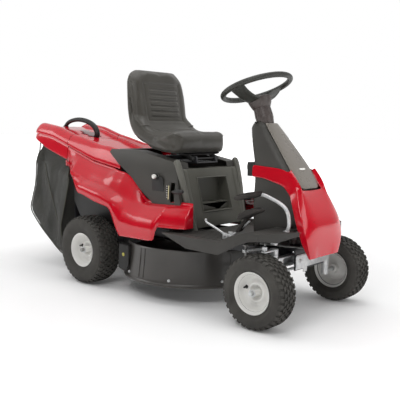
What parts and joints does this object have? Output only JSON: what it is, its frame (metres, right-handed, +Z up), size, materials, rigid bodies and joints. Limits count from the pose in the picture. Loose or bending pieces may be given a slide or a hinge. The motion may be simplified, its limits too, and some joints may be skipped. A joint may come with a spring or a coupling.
{
  "type": "riding lawn mower",
  "caption": "Rear-engine riding lawn mower, red and dark grey, with a high-backed seat, a steering column, a mid-mounted cutting deck and a rear grass collector.",
  "frame": {"origin": "on the ground under the middle of the overall box", "axes": "+X forward (the way the machine drives), +Y to the driver's left, +Z up"},
  "size_m": [1.97, 0.79, 1.15],
  "materials": {
    "red_plastic": "glossy red moulded bodywork",
    "dark_plastic": "dark grey grained moulding",
    "grey_plastic": "mid grey grained moulding",
    "black_plastic": "black moulding",
    "white_plastic": "white knob",
    "zinc_steel": "bright zinc plate",
    "steel": "machined steel",
    "frame_paint": "black powder coat",
    "deck_paint": "dark grey powder coat",
    "rim_paint": "light grey wheel paint",
    "cast_alloy": "as-cast alloy",
    "tyre_rubber": "dusty black tread rubber",
    "belt_rubber": "belt rubber",
    "seat_vinyl": "dark grey soft vinyl",
    "bag_cloth": "dark green-grey polyester mesh"
  },
  "bodies": {
    "chassis": {"chassis_frame": "frame_paint", "engine_plate": "frame_paint", "axle_pivot_pin": "zinc_steel", "footboard": "dark_plastic", "column_cover": "dark_plastic", "front_hood": "red_plastic", "dash_panel": "dark_plastic", "column_neck": "black_plastic", "seat_console": "dark_plastic", "seat_pedestal": "grey_plastic", "seat_bracket": "frame_paint", "rear_body": "red_plastic", "engine_block": "cast_alloy", "engine_shroud": "black_plastic", "muffler": "steel", "gearbox": "cast_alloy", "drive_belt": "belt_rubber", "blade_belt": "belt_rubber", "fuel_tank": "black_plastic", "battery": "black_plastic", "grass_chute": "black_plastic"},
    "front_axle": {"axle_beam": "zinc_steel"},
    "right_knuckle": {"knuckle_right": "zinc_steel"},
    "left_knuckle": {"knuckle_left": "zinc_steel"},
    "track_rod": {"tie_rod": "zinc_steel"},
    "steering_link": {"drag_link": "zinc_steel"},
    "sector": {"steering_sector": "steel"},
    "pinion": {"steering_pinion": "steel"},
    "steering": {"steering_wheel": "black_plastic", "steering_shaft": "steel"},
    "front_wheel_right": {"front_tyre_right": "tyre_rubber", "front_rim_right": "rim_paint"},
    "front_wheel_left": {"front_tyre_left": "tyre_rubber", "front_rim_left": "rim_paint"},
    "rear_wheel_right": {"rear_tyre_right": "tyre_rubber", "rear_rim_right": "rim_paint", "half_shaft_right": "steel"},
    "rear_wheel_left": {"rear_tyre_left": "tyre_rubber", "rear_rim_left": "rim_paint", "half_shaft_left": "steel"},
    "deck": {"deck_shell": "deck_paint", "spindle_housing": "cast_alloy"},
    "blade": {"blade_spindle": "steel", "cutting_blade": "steel"},
    "engine_output": {"engine_pulley": "steel"},
    "gearbox_input": {"gearbox_pulley": "steel"},
    "lift_lever": {"height_lever": "black_plastic"},
    "brake": {"brake_pedal": "zinc_steel"},
    "rocker": {"drive_rocker": "zinc_steel"},
    "seat": {"seat_pad": "seat_vinyl", "seat_pan": "black_plastic"},
    "clamp_knob": {"seat_knob": "zinc_steel"},
    "collector": {"collector_cover": "red_plastic", "collector_bag": "bag_cloth", "collector_handle": "black_plastic"},
    "choke": {"panel_knob": "white_plastic"},
    "key": {"ignition_key": "steel"},
    "throttle": {"throttle_lever": "black_plastic"},
    "tank_cap": {"fuel_cap": "black_plastic"}
  },
  "joints": [
    {"name": "steering_turn", "type": "hinge", "parent": "chassis", "child": "steering", "pos_m": [0.55, 0, 1.033], "axis": [-0.342, 0, 0.9397], "range_deg": [-260, 260]},
    {"name": "pinion_turn", "type": "hinge", "parent": "chassis", "child": "pinion", "pos_m": [0.787, 0, 0.34], "axis": [0, 0, 1], "range_deg": [-265, 265]},
    {"name": "sector_turn", "type": "hinge", "parent": "chassis", "child": "sector", "pos_m": [0.676, -0.15, 0.32], "axis": [0, 0, 1], "range_deg": [-28.9, 28.9]},
    {"name": "axle_pivot", "type": "hinge", "parent": "chassis", "child": "front_axle", "pos_m": [0.826, 0, 0.262], "axis": [1, 0, 0], "range_deg": [-3, 3]},
    {"name": "right_wheel_steer", "type": "hinge", "parent": "front_axle", "child": "right_knuckle", "pos_m": [0.826, -0.215, 0.24], "axis": [0, 0, 1], "range_deg": [-28.9, 28.9]},
    {"name": "left_wheel_steer", "type": "hinge", "parent": "front_axle", "child": "left_knuckle", "pos_m": [0.826, 0.215, 0.24], "axis": [0, 0, 1], "range_deg": [-28.9, 28.9]},
    {"name": "tie_rod_swing", "type": "hinge", "parent": "right_knuckle", "child": "track_rod", "pos_m": [0.756, -0.215, 0.188], "axis": [0, 0, 1], "range_deg": [-28.9, 28.9]},
    {"name": "drag_link_swing", "type": "hinge", "parent": "right_knuckle", "child": "steering_link", "pos_m": [0.826, -0.285, 0.338], "axis": [0, 0, 1], "range_deg": [-28.9, 28.9]},
    {"name": "front_right_spin", "type": "hinge", "parent": "right_knuckle", "child": "front_wheel_right", "pos_m": [0.826, -0.32, 0.159], "axis": [0, 1, 0], "continuous": true},
    {"name": "front_left_spin", "type": "hinge", "parent": "left_knuckle", "child": "front_wheel_left", "pos_m": [0.826, 0.32, 0.159], "axis": [0, 1, 0], "continuous": true},
    {"name": "rear_right_spin", "type": "hinge", "parent": "chassis", "child": "rear_wheel_right", "pos_m": [-0.311, -0.32, 0.182], "axis": [0, 1, 0], "continuous": true},
    {"name": "rear_left_spin", "type": "hinge", "parent": "chassis", "child": "rear_wheel_left", "pos_m": [-0.311, 0.32, 0.182], "axis": [0, 1, 0], "continuous": true},
    {"name": "height_adjust", "type": "hinge", "parent": "chassis", "child": "lift_lever", "pos_m": [0.116, -0.226, 0.5], "axis": [0, 1, 0], "range_deg": [-2.5, 9]},
    {"name": "deck_lift", "type": "slide", "parent": "chassis", "child": "deck", "axis": [0, 0, 1], "range_m": [-0.041, 0.011]},
    {"name": "blade_spin", "type": "hinge", "parent": "deck", "child": "blade", "pos_m": [0.176, 0, 0.2], "axis": [0, 0, 1], "continuous": true},
    {"name": "engine_spin", "type": "hinge", "parent": "chassis", "child": "engine_output", "pos_m": [0.011, 0, 0.256], "axis": [0, 0, 1], "continuous": true},
    {"name": "gearbox_spin", "type": "hinge", "parent": "chassis", "child": "gearbox_input", "pos_m": [-0.311, -0.065, 0.268], "axis": [0, 0, 1], "continuous": true},
    {"name": "brake_pedal_press", "type": "hinge", "parent": "chassis", "child": "brake", "pos_m": [0.86, -0.175, 0.396], "axis": [0, 1, 0], "range_deg": [0, 18], "stiffness_Nm_per_rad": 20, "springref_deg": -20.05},
    {"name": "drive_rocker_tilt", "type": "hinge", "parent": "chassis", "child": "rocker", "pos_m": [0.588, -0.238, 0.352], "axis": [0, 1, 0], "range_deg": [-10, 10], "stiffness_Nm_per_rad": 25},
    {"name": "seat_tilt", "type": "hinge", "parent": "chassis", "child": "seat", "pos_m": [0.226, 0, 0.686], "axis": [0, 1, 0], "range_deg": [0, 45]},
    {"name": "seat_knob_turn", "type": "hinge", "parent": "chassis", "child": "clamp_knob", "pos_m": [0.136, -0.11, 0.667], "axis": [0, 1, 0], "range_deg": [-180, 180]},
    {"name": "collector_tip", "type": "hinge", "parent": "chassis", "child": "collector", "pos_m": [-0.638, 0, 0.792], "axis": [0, 1, 0], "range_deg": [0, 70]},
    {"name": "choke_pull", "type": "slide", "parent": "chassis", "child": "choke", "axis": [0, -1, 0], "range_m": [0, 0.015]},
    {"name": "key_turn", "type": "hinge", "parent": "chassis", "child": "key", "pos_m": [0.556, -0.022, 0.66], "axis": [1, 0, 0], "range_deg": [-60, 60]},
    {"name": "throttle_move", "type": "hinge", "parent": "chassis", "child": "throttle", "pos_m": [0.566, 0.016, 0.64], "axis": [0, 1, 0], "range_deg": [-10, 45]},
    {"name": "fuel_cap_turn", "type": "hinge", "parent": "chassis", "child": "tank_cap", "pos_m": [-0.186, 0.09, 0.62], "axis": [0, 0, 1], "range_deg": [0, 90]}
  ],
  "couplings": [
    {"joint": "pinion_turn", "follows": "steering_turn", "ratio": 1},
    {"joint": "sector_turn", "follows": "steering_turn", "ratio": 0.10546},
    {"joint": "right_wheel_steer", "follows": "steering_turn", "ratio": 0.10546},
    {"joint": "left_wheel_steer", "follows": "steering_turn", "ratio": 0.10546},
    {"joint": "tie_rod_swing", "follows": "steering_turn", "ratio": -0.10546},
    {"joint": "drag_link_swing", "follows": "steering_turn", "ratio": -0.10546},
    {"joint": "deck_lift", "follows": "height_adjust", "m_per_rad": -0.25},
    {"joint": "engine_spin", "follows": "blade_spin", "ratio": 1.3095},
    {"joint": "gearbox_spin", "follows": "blade_spin", "ratio": 0.94828}
  ]
}
